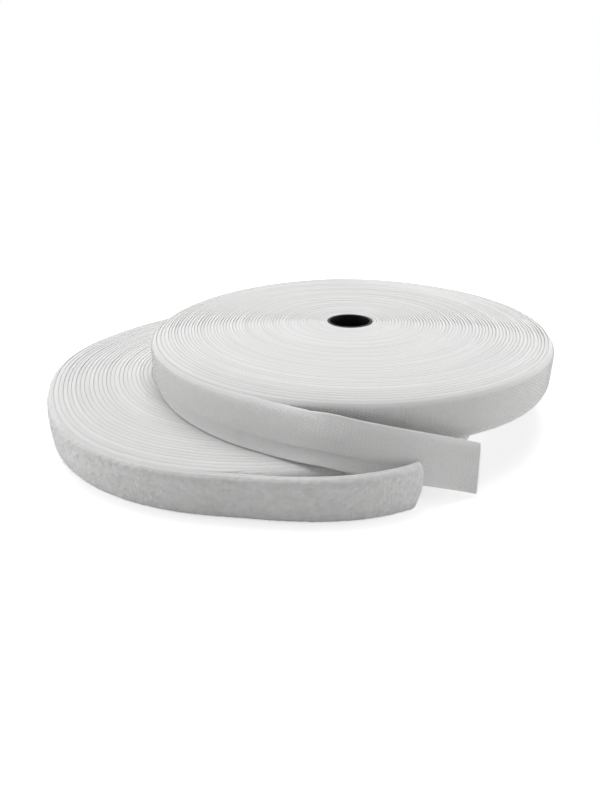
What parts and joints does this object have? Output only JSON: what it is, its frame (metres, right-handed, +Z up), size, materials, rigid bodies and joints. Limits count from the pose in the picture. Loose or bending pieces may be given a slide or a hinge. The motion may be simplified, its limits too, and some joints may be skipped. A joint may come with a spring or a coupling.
{
  "type": "hook and loop tape roll pair",
  "caption": "Flat rolls of white hook tape and loop tape, stacked off-centre and wound on black tube cores, with the free tape ends standing out at the front.",
  "frame": {"origin": "under the middle of the pair's box, on the floor that the loop roll lies on", "axes": "+Z up along the rolls' axes, +X along the longer side of the pair towards the hook roll, the tapes' free ends at the front on -Y"},
  "size_m": [0.3376, 0.2974, 0.0519],
  "materials": {
    "hook_tape": "white woven nylon with rows of fine stiff hooks on the outside",
    "loop_tape": "white woven nylon with a brushed, fuzzy loop pile on the outside",
    "core_plastic": "black moulded plastic, satin",
    "starter_tape": "tan adhesive strip, slightly creased"
  },
  "bodies": {
    "hook_roll": {"hook_core": "core_plastic", "hook_starter_tape": "starter_tape", "hook_winding": "hook_tape"},
    "loop_roll": {"loop_core": "core_plastic", "loop_starter_tape": "starter_tape", "loop_winding": "loop_tape"},
    "loop_tail": {"loop_tail": "loop_tape"},
    "hook_tail": {"hook_tail": "hook_tape"}
  },
  "joints": [
    {"name": "loop_roll_turn", "type": "hinge", "parent": "hook_roll", "child": "loop_roll", "pos_m": [-0.02167, 0.00228, 0], "axis": [0, 0, 1], "range_deg": [-300, 0]},
    {"name": "loop_tail_swing", "type": "hinge", "parent": "loop_roll", "child": "loop_tail", "pos_m": [-0.02911, -0.14553, 0.0125], "axis": [0, 0, -1], "range_deg": [0, 70]},
    {"name": "hook_tail_lift", "type": "hinge", "parent": "hook_roll", "child": "hook_tail", "pos_m": [-0.00025, -0.1237, 0.04803], "axis": [-0.2532, -0.9448, 0.2079], "range_deg": [0, 16]}
  ]
}
